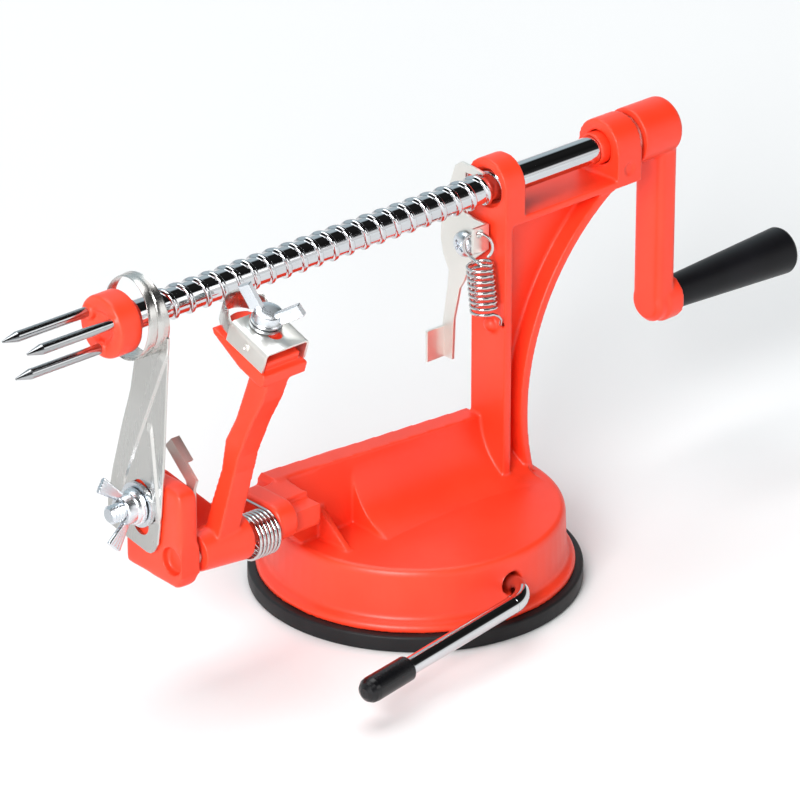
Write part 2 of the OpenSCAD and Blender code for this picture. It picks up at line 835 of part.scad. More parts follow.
// Extension spring of the feed latch: hook in the post, close coil, ring through the ear
function lean_point(r, a, h) = latch_spring_low
  + [r * cos(a), r * sin(a) * cos(latch_lean) + h * sin(latch_lean),
     -r * sin(a) * sin(latch_lean) + h * cos(latch_lean)];
latch_coil = [for (i = [0:latch_turns * rings])
                lean_point(latch_coil_r, -90 - 360 * i / rings, latch_coil_len * i / (latch_turns * rings))];
latch_hook = [[post_x + flange_t, hook_y + 1.2, hook_z], [post_x + 0.9, hook_y + 1.2, hook_z],
              [post_x - 0.9, hook_y + 0.8, hook_z + 0.3], [post_x - 1.9, hook_y, hook_z + 1.5],
              [post_x - 2.3, hook_y - 0.6, hook_z + 3.2], [post_x - 3.6, hook_y - 0.7, hook_z + 4.8]];
loop_mid = latch_coil_len + loop_r + 0.9;
latch_loop = [for (a = [-50:25:230])
                lean_point(0, 0, loop_mid)
                + loop_r * [-sin(loop_turn) * cos(a), cos(loop_turn) * cos(a), sin(a)]];
latch_wire_path = concat(latch_hook, latch_coil, [lean_point(latch_coil_r * 0.8, -135, latch_coil_len + 0.9)],
                         latch_loop);

module latch_spring() {
  color(c_chrome)
    wire(latch_wire_path, latch_wire, [0, 0, 1]);
}

// Torsion spring of the arm: tail at the arm, close coil hanging round the hub, leg over the beam
arm_coil_r = arm_hub_r + 0.6;
arm_coil_mid = [pivot_y - 0.4, pivot_z - 1.8];
arm_coil_x = lug_x - gap - arm_wire / 2;
arm_coil_pitch = 1.47;
arm_coil_x0 = arm_coil_x - arm_coil_pitch * arm_turns;
function arm_ring(x, a) = [x, arm_coil_mid[0] + arm_coil_r * cos(a), arm_coil_mid[1] + arm_coil_r * sin(a)];
arm_coil = [for (i = [0:arm_turns * rings])
              arm_ring(arm_coil_x0 + arm_coil_pitch * i / rings, 90 - 360 * i / rings)];
arm_tail = [for (t = [2.4, 1.2])
              arm_coil[0] - [0, t, 0]];
arm_leg_y = bridge_near_y + 2.5;
arm_leg_z = arm_coil_mid[1] + arm_coil_r;
arm_leg = [for (y = [arm_coil_mid[0] + 2, arm_leg_y - 2, arm_leg_y])
             [arm_coil_x, y, arm_leg_z]];
arm_leg_end = [[arm_coil_x, arm_leg_y + 1, arm_leg_z - 0.6], [arm_coil_x, arm_leg_y + 1.2, beam_top_z + gap]];
arm_wire_path = concat(arm_tail, arm_coil, arm_leg, arm_leg_end);

module arm_spring() {
  color(c_chrome)
    wire(arm_wire_path, arm_wire, [1, 0, 0]);
}

echo(latch_spring_gap = least_gap(latch_wire_path, 5, latch_wire));
echo(arm_spring_gap = least_gap(arm_wire_path, 5, arm_wire));

module slicer_plate() {
  w = ring_ro;
  h = shaft_z - stud_z;
  top = shaft_z;
  low = stud_z;
  color(c_steel)
    along_x(plate_x, sheet_t)
      difference() {
        polygon([[-0.98 * w, top - 0.07 * h], [-0.96 * w, top - 0.14 * h], [-0.81 * w, top - 0.51 * h],
                 [-0.67 * w, top - 0.86 * h], [-0.6 * w, low], [-0.46 * w, low - 0.175 * h],
                 [-0.33 * w, low - 0.22 * h], [-0.18 * w, low - 0.242 * h], [-0.05 * w, low - 0.245 * h],
                 [0.64 * w, low - 0.22 * h], [1.32 * w, low - 0.195 * h], [1.4 * w, low - 0.165 * h],
                 [1.38 * w, low - 0.068 * h], [0.32 * w, top - 0.234 * h], [0.81 * w, top - 0.113 * h]]);
        translate([0, top])
          circle(w);
        translate([stud_y, stud_z - slot_drop])
          slot_2d(slot_r, slot_half);
      }
}

module corer_ring() {
  color(c_steel)
    difference() {
      ring_along_x(ring_x, ring_len, ring_ro, ring_bore / 2, 0, shaft_z);
      translate([ring_x + ring_slant, 0, shaft_z])
        rotate([ring_turn, 0, 0])
          rotate([0, 0, -atan(ring_slant / ring_ro)])
            translate([-ring_len, -2 * ring_ro, -2 * ring_ro])
              cube([ring_len, 4 * ring_ro, 4 * ring_ro]);
    }
}

module corer_stud() {
  color(c_chrome) {
    rod_x(stud_x + 0.6, boss_end - stud_x, stud_r, stud_y, stud_z);
    translate([stud_x, stud_y, stud_z])
      rotate([0, 90, 0])
        cylinder(h = 0.6, r1 = stud_r - 0.6, r2 = stud_r);
    rod_x(boss_end + seat_gap, stud_head_t, stud_head_r, stud_y, stud_z);
  }
}

module corer_washer() {
  color(c_chrome)
    ring_along_x(nut_washer_x, washer_t, washer_d / 2, stud_r + run_gap, stud_y, stud_z);
}

// Pair of thumb wings, drawn in radius and height, height upwards from the nut's seat
module wings(h, root_w, tip_w) {
  root = [wing_root_r, h - wing_sink];
  tip = [wing_tip_r, h + wing_rise];
  side = [root[1] - tip[1], tip[0] - root[0]] / norm(tip - root) / 2;
  for (s = [0, 180])
    rotate([0, 0, s])
      translate([0, wing_t / 2, 0])
        rotate([90, 0, 0])
          linear_extrude(wing_t)
            polygon([root - root_w * side, tip - tip_w * side, tip + tip_w * side, root + root_w * side]);
}

module corer_wing_nut() {
  color(c_chrome)
    translate([nut_end, stud_y, stud_z])
      rotate([0, -90, 0])
        rotate([0, 0, 16])
          difference() {
            union() {
              cylinder(h = nut_len, r1 = 5.4, r2 = 4.3);
              wings(nut_len, 2.4, 4.6);
            }
            translate([0, 0, -1])
              cylinder(h = nut_len + 2, r = stud_r + run_gap);
          }
}

module peel_arm() {
  z = tilt_at[2];
  y = tilt_at[1];
  color(c_red)
    difference() {
      union() {
        translate([arm_hub_x, pivot_y, pivot_z])
          rotate([0, 90, 0])
            cylinder(h = arm_step_x - arm_hub_x, r1 = arm_hub_r, r2 = arm_hub_r + arm_hub_flare);
        rod_x(arm_step_x - eps, arm_hub_end - arm_step_x + eps, arm_core_r, pivot_y, pivot_z);
        intersection() {
          along_x(arm_x - arm_lean, arm_w + arm_lean)
            polygon([[pivot_y + 1.9, pivot_z + 3], [pivot_y + 0.4, pivot_z + 14],
                     [pivot_y - 3.8, pivot_z + 35.5],
                     [pivot_y - 8.6, pivot_z + 44], [y + 8, z - 3], [y - 0.4, z - 3.4], [y + 2.9, z - 11.4],
                     [y + 8.4, z - 21], [pivot_y - 9.3, pivot_z + 31], [pivot_y - 7.6, pivot_z + 25],
                     [pivot_y - 4.9, pivot_z + 3]]);
          along_y(y - 2, pivot_y - y + 8)
            polygon([[arm_x, z], [arm_x, arm_knee_z], [arm_x - arm_lean, pivot_z + 2],
                     [arm_x - arm_lean + arm_w, pivot_z + 2], [arm_x + arm_w, arm_knee_z], [arm_x + arm_w, z]]);
        }
        on_bracket() {
          along_x(-bracket_r, bracket_w)
            polygon([[-1.5, -4.4], [0, -5], [9, -5], [22, -2], [23.4, -gap], [-1.5, -gap]]);
          translate([-tongue_w / 2, tongue_u, -1])
            cube([tongue_w, 13.5 - tongue_u, bracket_h - sheet_t - gap + 1]);
          translate([-tongue_w / 2, 0.5, -1])
            cube([tongue_w, shoe_u - 0.5, 3.6]);
          translate([0, shoe_u, -1])
            cylinder(h = 3.6, r = tongue_w / 2);
        }
      }
      rod_x(arm_hub_x - 1, arm_hub_end - arm_hub_x + 2, rod_r + run_gap, pivot_y, pivot_z);
      on_bracket()
        translate([0, screw_u, -3.4])
          cylinder(h = 12, r = screw_r + run_gap);
    }
}

module arm_pivot_rod() {
  color(c_steel)
    rod_x(boss_x + rod_in, lug_x + lug_t - boss_x - 2 * rod_in, rod_r, pivot_y, pivot_z);
}

module blade_bracket() {
  color(c_steel)
    on_bracket()
      difference() {
        translate([-bracket_r, 0, 0])
          cube([bracket_w, bracket_len, bracket_h]);
        translate([-blade_w / 2, -1, -1])
          cube([blade_w, bracket_len + 2, bracket_h - sheet_t + 1]);
        translate([0, screw_u - 0.3, bracket_h - sheet_t - 1])
          linear_extrude(sheet_t + 2)
            slot_2d(screw_r + gap, 4);
      }
}

module peel_blade() {
  color(c_steel)
    on_bracket() {
      for (side = [-1, 1])
        translate([side * (blade_w - sheet_t) / 2 - sheet_t / 2, 0, 0]) {
          translate([0, bracket_len - 6, 1.2])
            cube([sheet_t, 7, 4.6]);
          translate([0, bracket_len, 1.6])
            cube([sheet_t, loop_u - bracket_len + 0.2, bracket_h]);
        }
      translate([0, loop_u, 1.6])
        rotate_extrude(angle = 180)
          translate([blade_w / 2 - sheet_t, 0])
            square([sheet_t, bracket_h]);
    }
}

module blade_washer() {
  color(c_chrome)
    on_bracket()
      translate([0, screw_u, bracket_h + gap])
        difference() {
          cylinder(h = blade_washer_t, r = blade_washer_r);
          translate([0, 0, -1])
            cylinder(h = blade_washer_t + 2, r = screw_r + run_gap);
        }
}

module blade_wing_screw() {
  color(c_chrome)
    on_bracket()
      translate([0, screw_u, 0]) {
        translate([0, 0, -2.6])
          cylinder(h = blade_nut_v + 3.6, r = screw_r);
        translate([0, 0, blade_nut_v]) {
          cylinder(h = blade_nut_h, r1 = 4.7, r2 = 3.7);
          rotate([0, 0, 117])
            wings(blade_nut_h, 3.8, 3.8);
        }
      }
}

module arm_catch() {
  run = catch_end - catch_knee;
  lean = atan2(run[1], run[0]);
  color(c_steel)
    translate([0, pivot_y, pivot_z]) {
      along_x(catch_x, catch_t)
        difference() {
          union() {
            circle(catch_r);
            translate([catch_knee[0] - catch_w / 2, 0])
              square([catch_w, catch_knee[1]]);
            translate(catch_knee)
              circle(catch_w / 2);
            translate(catch_knee)
              rotate(lean)
                translate([0, -catch_w / 2])
                  square([norm(run), catch_w]);
          }
          circle(rod_r + run_gap);
        }
      translate([catch_x, catch_knee[0], catch_knee[1]])
        rotate([lean, 0, 0])
          translate([0, norm(run) - catch_tab_len, catch_w / 2 - catch_t])
            cube([catch_tab_w, catch_tab_len, catch_t]);
    }
}

base_housing();
suction_pad();
pull_stem();
suction_lever();
lever_cap();
screw_shaft();
screw_thread();
fork_head();
fork_prongs();
thrust_washer();
crank_arm();
grip_pin();
grip();
feed_latch();
latch_screw();
latch_spring();
slicer_plate();
corer_ring();
corer_stud();
corer_washer();
corer_wing_nut();
peel_arm();
arm_pivot_rod();
arm_spring();
blade_bracket();
peel_blade();
blade_washer();
blade_wing_screw();
arm_catch();
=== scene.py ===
import json
import math

import bmesh
import bpy
from mathutils import Matrix, Vector
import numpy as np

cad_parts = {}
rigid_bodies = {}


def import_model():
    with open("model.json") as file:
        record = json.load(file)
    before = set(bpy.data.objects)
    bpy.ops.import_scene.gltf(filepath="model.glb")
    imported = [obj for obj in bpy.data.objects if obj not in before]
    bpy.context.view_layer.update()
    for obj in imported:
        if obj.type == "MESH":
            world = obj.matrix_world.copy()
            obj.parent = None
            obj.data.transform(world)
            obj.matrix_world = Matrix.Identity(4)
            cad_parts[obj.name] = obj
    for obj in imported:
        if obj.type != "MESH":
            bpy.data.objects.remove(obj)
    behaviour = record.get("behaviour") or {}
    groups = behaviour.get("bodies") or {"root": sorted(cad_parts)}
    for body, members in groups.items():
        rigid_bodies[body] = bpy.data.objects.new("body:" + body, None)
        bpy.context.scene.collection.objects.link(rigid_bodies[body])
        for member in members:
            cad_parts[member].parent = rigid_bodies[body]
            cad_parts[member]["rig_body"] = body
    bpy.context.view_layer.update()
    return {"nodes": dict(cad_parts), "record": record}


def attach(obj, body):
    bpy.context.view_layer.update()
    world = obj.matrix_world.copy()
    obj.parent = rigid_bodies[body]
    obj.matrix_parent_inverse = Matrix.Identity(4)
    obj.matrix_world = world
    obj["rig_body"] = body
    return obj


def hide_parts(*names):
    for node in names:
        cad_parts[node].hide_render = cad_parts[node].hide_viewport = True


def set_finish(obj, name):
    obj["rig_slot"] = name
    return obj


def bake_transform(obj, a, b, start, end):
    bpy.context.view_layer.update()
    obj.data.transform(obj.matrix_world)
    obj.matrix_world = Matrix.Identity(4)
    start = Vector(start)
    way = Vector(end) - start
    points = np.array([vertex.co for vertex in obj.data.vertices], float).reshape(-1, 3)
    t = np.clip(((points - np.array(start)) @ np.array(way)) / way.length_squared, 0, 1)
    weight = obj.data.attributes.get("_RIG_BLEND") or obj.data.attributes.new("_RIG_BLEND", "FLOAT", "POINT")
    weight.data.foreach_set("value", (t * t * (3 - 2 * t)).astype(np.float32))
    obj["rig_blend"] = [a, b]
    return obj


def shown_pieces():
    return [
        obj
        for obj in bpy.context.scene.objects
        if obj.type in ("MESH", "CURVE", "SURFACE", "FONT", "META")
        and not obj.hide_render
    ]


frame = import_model()
nodes = frame["nodes"]
scene = bpy.context.scene
SLOT_OF = {s["node"]: s["material_slot"] for s in frame["record"]["subparts"]}

# Lengths are in millimetres and in the frame of the CAD. MM turns them into Blender's metres.
MM = 0.001
TIP = 1e-7  # radius with which a turned piece closes on its axis

SHAFT_Z = 122.0  # the screw's axis, along X
PIVOT_Y, PIVOT_Z = -10.5, 45.0  # the peeling arm's rod, along X
STUD_Y, STUD_Z = 1.8, 60.0  # the slicer plate's stud, along X
LATCH_Y, LATCH_Z = 6.5, SHAFT_Z - 20  # the feed latch's screw, along X
LEVER_X, LEVER_Z = -2.3, 15.6  # the suction lever's shank, along Y


# Points and faces

def turn(degrees, axis):
    return Matrix.Rotation(math.radians(degrees), 4, axis)


def shift(x, y, z):
    return Matrix.Translation((x, y, z))


# stands an outline drawn in x and y up in Y and Z, with its thickness along X
UPRIGHT = Matrix(((0, 0, 1, 0), (1, 0, 0, 0), (0, 1, 0, 0), (0, 0, 0, 1)))


def skin(n, count, closed=False):
    """Faces between one section and the next, of count sections with n points each."""
    faces = []
    for k in range(count if closed else count - 1):
        a, b = n * k, n * ((k + 1) % count)
        faces += [(a + i, a + (i + 1) % n, b + (i + 1) % n, b + i) for i in range(n)]
    return faces


def caps(n, count):
    """The faces at both ends of such a run."""
    return [tuple(reversed(range(n))), tuple(range(n * (count - 1), n * count))]


def merged(*parts):
    """One list of points and faces from several."""
    verts, faces = [], []
    for v, f in parts:
        faces += [tuple(i + len(verts) for i in face) for face in f]
        verts += list(v)
    return verts, faces


def moved(part, place):
    verts, faces = part
    return [place @ Vector(v) for v in verts], faces


def prism(outline, low, high):
    """A flat outline in x and y, thickened from low to high in z."""
    verts = [(x, y, z) for z in (low, high) for x, y in outline]
    return verts, caps(len(outline), 2) + skin(len(outline), 2)


def stadium(r, half, steps=24):
    """Outline of a slot along y."""
    arc = [math.pi * i / steps for i in range(steps + 1)]
    return ([(r * math.cos(a), half - r + r * math.sin(a)) for a in arc]
            + [(-r * math.cos(a), r - half - r * math.sin(a)) for a in arc])


def ringed(profile, steps=64):
    """A turned ring round z from a closed profile of (radius, z)."""
    angles = [2 * math.pi * j / steps for j in range(steps)]
    verts = [(r * math.cos(a), r * math.sin(a), z) for a in angles for r, z in profile]
    return verts, skin(len(profile), steps, closed=True)


def lathe(profile, origin, axis_x=True, steps=72):
    """A turned piece from a profile of (along, radius), along X or Z."""
    o = Vector(origin)
    verts = []
    for along, r in profile:
        for j in range(steps):
            a = 2 * math.pi * j / steps
            c, s = r * math.cos(a), r * math.sin(a)
            verts.append(o + (Vector((along, c, s)) if axis_x else Vector((c, s, along))))
    faces = skin(steps, len(profile))
    for i in (0, len(profile) - 1):
        if profile[i][1] > 2 * TIP:
            faces.append(tuple(range(steps * i, steps * (i + 1))))
    return verts, faces


def tube(path, radius, sides=14, n0=(0, 0, 1)):
    """A round wire along a path."""
    pts = [Vector(p) for p in path]
    last = len(pts) - 1
    normal = Vector(n0)
    verts = []
    for i, p in enumerate(pts):
        t = (pts[min(i + 1, last)] - pts[max(i - 1, 0)]).normalized()
        normal = (normal - normal.dot(t) * t).normalized()
        side = t.cross(normal)
        for j in range(sides):
            a = 2 * math.pi * j / sides
            verts.append(p + radius * (math.cos(a) * normal + math.sin(a) * side))
    return verts, skin(sides, len(pts)) + caps(sides, len(pts))


def smooth_path(points, per=6):
    """Points on a smooth curve through the given ones."""
    p = [Vector(q) for q in points]
    p = [2 * p[0] - p[1]] + p + [2 * p[-1] - p[-2]]
    out = []
    for i in range(1, len(p) - 2):
        a, b, c, d = p[i - 1], p[i], p[i + 1], p[i + 2]
        for k in range(per):
            t = k / per
            out.append(0.5 * (2 * b + (c - a) * t + (2 * a - 5 * b + 4 * c - d) * t ** 2
                              + (3 * b - 3 * c + d - a) * t ** 3))
    return out + [p[-2]]


def between(table, at):
    """The value at a place, from (place, value) rows in rising order, level past both ends."""
    for (a0, v0), (a1, v1) in zip(table, table[1:]):
        if a0 <= at <= a1:
            return v0 + (v1 - v0) * (at - a0) / (a1 - a0)
    return table[0][1] if at < table[0][0] else table[-1][1]


def eased(share):
    """0 to 1 with a soft start and end."""
    share = min(1, max(0, share))
    return share * share * (3 - 2 * share)


# Objects

def link(name, mesh):
    obj = bpy.data.objects.new(name, mesh)
    scene.collection.objects.link(obj)
    return obj


def shaded(mesh, crease=35):
    """Smooth shading, with the edges that turn by more than the crease left sharp."""
    mesh.polygons.foreach_set("use_smooth", [True] * len(mesh.polygons))
    if crease:
        mesh.set_sharp_from_angle(angle=math.radians(crease))


def mesh_piece(name, verts, faces):
    mesh = bpy.data.meshes.new(name)
    mesh.from_pydata([Vector(v) * MM for v in verts], [], faces)
    mesh.validate()
    bm = bmesh.new()
    bm.from_mesh(mesh)
    bmesh.ops.remove_doubles(bm, verts=bm.verts, dist=1e-8)
    bmesh.ops.recalc_face_normals(bm, faces=bm.faces)
    bm.to_mesh(mesh)
    bm.free()
    shaded(mesh)
    return link(name, mesh)


def applied(obj, crease=35):
    """Replaces the object's mesh by what its modifiers make of it."""
    depsgraph = bpy.context.evaluated_depsgraph_get()
    made = bpy.data.meshes.new_from_object(obj.evaluated_get(depsgraph))
    obj.modifiers.clear()
    old, obj.data = obj.data, made
    bpy.data.meshes.remove(old)
    shaded(made, crease)
    return obj


def welded_copy(node, name):
    """A copy of a CAD node's mesh with its split vertices joined again."""
    mesh = nodes[node].data.copy()
    bm = bmesh.new()
    bm.from_mesh(mesh)
    bmesh.ops.remove_doubles(bm, verts=bm.verts, dist=2e-6)
    bm.to_mesh(mesh)
    bm.free()
    for attribute in [a for a in mesh.attributes if a.name == "custom_normal"]:
        mesh.attributes.remove(attribute)
    return link(name, mesh)


def combined(obj, other, operation):
    """Takes the other object out of obj, or joins it on, and drops the other."""
    step = obj.modifiers.new("step", "BOOLEAN")
    step.operation = operation
    step.object = other
    applied(obj)
    bpy.data.objects.remove(other)
    return obj


def cut(obj, cutter):
    return combined(obj, cutter, "DIFFERENCE")


def rounded(obj, picked, rounds):
    """Softens the edges further where picked says so of a point."""
    bm = bmesh.new()
    bm.from_mesh(obj.data)
    verts = [v for v in bm.verts if picked(v.co / MM)]
    for _ in range(rounds):
        bmesh.ops.smooth_vert(bm, verts=verts, factor=0.5, use_axis_x=True, use_axis_y=True, use_axis_z=True)
    bm.to_mesh(obj.data)
    bm.free()
    return obj


def soft(obj, voxel, rounds):
    """Joins what overlaps in obj into one skin with the soft edges of a moulding or casting."""
    remesh = obj.modifiers.new("skin", "REMESH")
    remesh.mode = "VOXEL"
    remesh.voxel_size = voxel * MM
    soften = obj.modifiers.new("soften", "SMOOTH")
    soften.factor = 0.5
    soften.iterations = rounds
    return applied(obj, 0)


def bevelled(obj, width, angle):
    """Breaks the edges that turn by more than the angle."""
    edge = obj.modifiers.new("edge", "BEVEL")
    edge.width = width * MM
    edge.segments = 2
    edge.limit_method = "ANGLE"
    edge.angle_limit = math.radians(angle)
    return obj


def taken_in(obj, *others):
    """Adds the meshes of other objects to obj and drops them."""
    bm = bmesh.new()
    bm.from_mesh(obj.data)
    for other in others:
        bm.from_mesh(other.data)
        bpy.data.objects.remove(other)
    bm.to_mesh(obj.data)
    bm.free()
    return obj


def placed(obj, node):
    """obj stands for the node, rides on its body and takes its material slot."""
    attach(obj, nodes[node]["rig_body"])
    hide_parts(node)
    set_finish(obj, SLOT_OF[node])
    return obj


def moulded(node, name, voxel, rounds, *extra):
    """The CAD node as a moulding, with what else is moulded on it."""
    return placed(soft(taken_in(welded_copy(node, name), *extra), voxel, rounds), node)


# Materials

class Tree:
    """Short names for building a node tree."""

    def __init__(self, tree):
        self.tree = tree

    def add(self, kind, **values):
        node = self.tree.nodes.new(kind)
        for key, value in values.items():
            if hasattr(node, key):
                setattr(node, key, value)
            else:
                node.inputs[key.replace("_", " ")].default_value = value
        return node

    def join(self, a, b):
        self.tree.links.new(a, b)

    def ramp(self, source, stops):
        ramp = self.add("ShaderNodeValToRGB")
        elements = ramp.color_ramp.elements
        while len(elements) < len(stops):
            elements.new(0.5)
        for element, (at, colour) in zip(elements, stops):
            element.position = at
            element.color = (*colour, 1)
        self.join(source, ramp.inputs["Fac"])
        return ramp.outputs["Color"]

    def remap(self, source, low=0.0, high=1.0, start=0.0, stop=1.0):
        """Turns start to stop into low to high."""
        node = self.add("ShaderNodeMapRange", From_Min=start, From_Max=stop, To_Min=low, To_Max=high)
        self.join(source, node.inputs["Value"])
        return node.outputs["Result"]


class Material(Tree):
    def __init__(self, name):
        self.made = bpy.data.materials.new(name)
        self.made.use_nodes = True
        super().__init__(self.made.node_tree)
        self.shader = self.tree.nodes["Principled BSDF"]
        self.coords = self.add("ShaderNodeTexCoord").outputs["Object"]

    def noise(self, scale, detail, stretch=(1, 1, 1)):
        place = self.add("ShaderNodeMapping", Scale=stretch)
        self.join(self.coords, place.inputs["Vector"])
        texture = self.add("ShaderNodeTexNoise", Scale=scale, Detail=detail)
        self.join(place.outputs["Vector"], texture.inputs["Vector"])
        return texture.outputs["Fac"]

    def drive(self, socket, source):
        self.join(source, self.shader.inputs[socket])

    def bump(self, source, depth, strength):
        node = self.add("ShaderNodeBump", Strength=strength, Distance=depth)
        self.join(source, node.inputs["Height"])
        self.drive("Normal", node.outputs["Normal"])

    def fixed(self, **values):
        for key, value in values.items():
            self.shader.inputs[key.replace("_", " ")].default_value = value


def finish(name, colour, rough, bump, **values):
    """A material of mottled colour and roughness with a fine grain.

    colour: its noise, then where on that noise which colour lies
    rough: its noise, least and greatest roughness
    bump: its noise, depth in metres and strength
    """
    material = Material(name)
    mottle, *stops = colour
    material.drive("Base Color", material.ramp(material.noise(*mottle), stops))
    cloud, low, high = rough
    material.drive("Roughness", material.remap(material.noise(*cloud), low, high))
    grain, depth, strength = bump
    material.bump(material.noise(*grain), depth, strength)
    material.fixed(**values)
    return material.made


# stretch of grain along the prongs, and along the slicer plate
DRAWN, BRUSHED, FINE_BRUSHED = (0.05, 1, 1), (1, 1, 0.06), (1, 1, 0.03)

MATERIALS = {
    # the colours are linear
    "red_plastic": finish(
        "red_plastic", ((38, 3), (0.35, (0.86, 0.040, 0.011)), (0.65, (0.92, 0.050, 0.016))),
        ((160, 4), 0.36, 0.46), ((2600, 2), 20e-6, 0.5), Specular_IOR_Level=0.5),
    "black_rubber": finish(
        "black_rubber", ((90, 4), (0.3, (0.004, 0.004, 0.005)), (0.7, (0.009, 0.009, 0.010))),
        ((220, 4), 0.45, 0.6), ((1800, 3), 40e-6, 0.6), Specular_IOR_Level=0.3),
    "black_plastic": finish(
        "black_plastic", ((60, 3), (0.3, (0.003, 0.003, 0.004)), (0.7, (0.006, 0.006, 0.008))),
        ((300, 4), 0.36, 0.48), ((3200, 2), 30e-6, 0.7), Specular_IOR_Level=0.2),
    "black_vinyl": finish(
        "black_vinyl", ((70, 3), (0.3, (0.003, 0.003, 0.004)), (0.7, (0.007, 0.007, 0.008))),
        ((180, 3), 0.2, 0.32), ((900, 2), 40e-6, 0.4), Specular_IOR_Level=0.4),
    "chrome": finish(
        "chrome", ((45, 3), (0.3, (0.60, 0.61, 0.63)), (0.7, (0.68, 0.69, 0.71))),
        ((130, 4), 0.04, 0.09), ((500, 2), 10e-6, 0.2), Metallic=1.0),
    # bright drawn steel of the prongs, darker than plate
    "tines": finish(
        "tines", ((45, 3), (0.3, (0.38, 0.39, 0.40)), (0.7, (0.46, 0.47, 0.48))),
        ((400, 3, DRAWN), 0.1, 0.18), ((1100, 2, DRAWN), 10e-6, 0.2), Metallic=1.0),
    # bright zinc plate on cast and stamped fasteners
    "zinc": finish(
        "zinc", ((70, 4), (0.3, (0.62, 0.65, 0.69)), (0.7, (0.76, 0.79, 0.82))),
        ((260, 4), 0.22, 0.32), ((900, 3), 10e-6, 0.25), Metallic=1.0),
    "stainless": finish(
        "stainless", ((35, 3), (0.3, (0.56, 0.55, 0.53)), (0.7, (0.64, 0.63, 0.61))),
        ((500, 3, BRUSHED), 0.22, 0.32), ((1500, 2, FINE_BRUSHED), 6e-6, 0.25), Metallic=1.0),
    # tumbled stainless sheet, paler and duller than the brushed plate
    "satin": finish(
        "satin", ((30, 3), (0.3, (0.76, 0.75, 0.71)), (0.7, (0.83, 0.82, 0.78))),
        ((420, 4), 0.38, 0.48), ((1800, 3), 8e-6, 0.3), Metallic=1.0),
    # dull stainless strip
    "strip_steel": finish(
        "strip_steel", ((30, 3), (0.3, (0.58, 0.57, 0.54)), (0.7, (0.64, 0.63, 0.60))),
        ((420, 4), 0.38, 0.48), ((1800, 3), 8e-6, 0.3), Metallic=0.85),
    "spring_wire": finish(
        "spring_wire", ((60, 2), (0.3, (0.52, 0.52, 0.52)), (0.7, (0.64, 0.64, 0.64))),
        ((400, 3), 0.1, 0.18), ((1200, 2), 10e-6, 0.3), Metallic=1.0),
}


# Mouldings

def lever_bush():
    """Lip of the hole in the dome's wall, close round the lever."""
    hole, mouth, outside, depth, step, outer_y = 3.65, 3.05, 4.9, 7.0, 5.5, -45.9
    lip = ringed([(hole, 0), (outside, 0), (outside, depth), (mouth, depth), (mouth, step), (hole, step)], 48)
    return mesh_piece("bush", *moved(lip, shift(LEVER_X, outer_y, LEVER_Z) @ turn(-90, "X")))


def off_pivot(p):
    """How far a point lies from the axis of the arm's rod."""
    return math.hypot(p.y - PIVOT_Y, p.z - PIVOT_Z)


def on_boss(p):
    """Whether a point lies on the front boss, away from its pocket and stud hole."""
    return p.x < -97.5 and off_pivot(p) > 6.2 and math.hypot(p.y - STUD_Y, p.z - STUD_Z) > 6.2


def on_lug(p):
    """Whether a point lies where the bridge ends in the lug that carries the arm's rod."""
    return -72 < p.x < -38 and -34 < p.y < 3 and 34 < p.z < 62 and off_pivot(p) > 5


def fork():
    """Head with a shallow dish in front, a swelling round each prong and a neck behind."""
    front, back, neck_end = -122.0, -113.8, -111.0
    rim, neck, prong_circle = 9.6, 6.15, 6.5
    body = lathe([(front + 1.4, TIP), (front + 1.4, 4.0), (front + 0.2, 5.4), (front, 6.2),
                  (front, rim - 0.9), (front + 0.3, rim - 0.25), (front + 1.0, rim), (back - 0.8, rim),
                  (back - 0.2, rim - 0.3), (back, rim - 0.9), (back, neck), (neck_end, neck), (neck_end, TIP)],
                 (0, 0, SHAFT_Z))
    swelling = [(front - 0.6, TIP), (front - 0.6, 1.9), (front, 2.4), (front + 2, 2.75), (front + 2, TIP)]
    seats = []
    for degrees in (30, 150, 270):
        a = math.radians(degrees)
        y, z = prong_circle * math.cos(a), prong_circle * math.sin(a)
        seats.append(lathe(swelling, (0, y, SHAFT_Z + z), steps=32))
    return placed(soft(mesh_piece("fork", *merged(body, *seats)), 0.3, 4), "fork_head")


housing = moulded("base_housing", "housing", 0.5, 4, lever_bush())
rounded(housing, on_boss, 40)
rounded(housing, on_lug, 16)
moulded("peel_arm", "arm", 0.42, 7)
moulded("crank_arm", "crank", 0.5, 5)
fork()


# Fasteners

# the bracket's own axes: across, along the blade, out of its top
BRACKET = shift(-82.2, -34, SHAFT_Z - 12.6) @ turn(19, "X")
BRACKET_W, BRACKET_L, BRACKET_H = 16.6, 16.5, 7.0
SHEET = 0.8  # thickness of the bracket's and the slicer plate's sheet
SCREW_U = 10.6  # where along the bracket the thumb screw stands

# a wing's middle line, from root to tip: radius and height over the hub's top
WING_ROOT, WING_TIP = (3.4, -1.8), (9.2, 4.6)


def wing_line(h, share, off):
    """A point on a wing: how far out along its middle line, and how far to its side."""
    (r0, z0), (r1, z1) = WING_ROOT, WING_TIP
    length = math.hypot(r1 - r0, z1 - z0)
    return (r0 + (r1 - r0) * share - (z1 - z0) / length * off,
            h + z0 + (z1 - z0) * share + (r1 - r0) / length * off, 0)


def wing_plate(h, corners, half_thick):
    return prism([wing_line(h, *corner)[:2] for corner in corners], -half_thick, half_thick)


def fluted_wing(h):
    """Wing of four flutes that spread from the nut to a straight end."""
    web = wing_plate(h, ((0, -0.9), (1.04, -2.3), (1.04, 2.3), (0, 0.9)), 0.6)
    flutes = [tube([wing_line(h, i / 11.2, k * (0.24 + 0.9 * i / 12)) for i in range(13)], 0.9, 12)
              for k in (-1.5, -0.5, 0.5, 1.5)]
    return merged(web, *flutes)


def bar_wing(h):
    """Plain flat bar."""
    return wing_plate(h, ((0, -1.95), (1, -1.95), (1, 1.95), (0, 1.95)), 1.05)


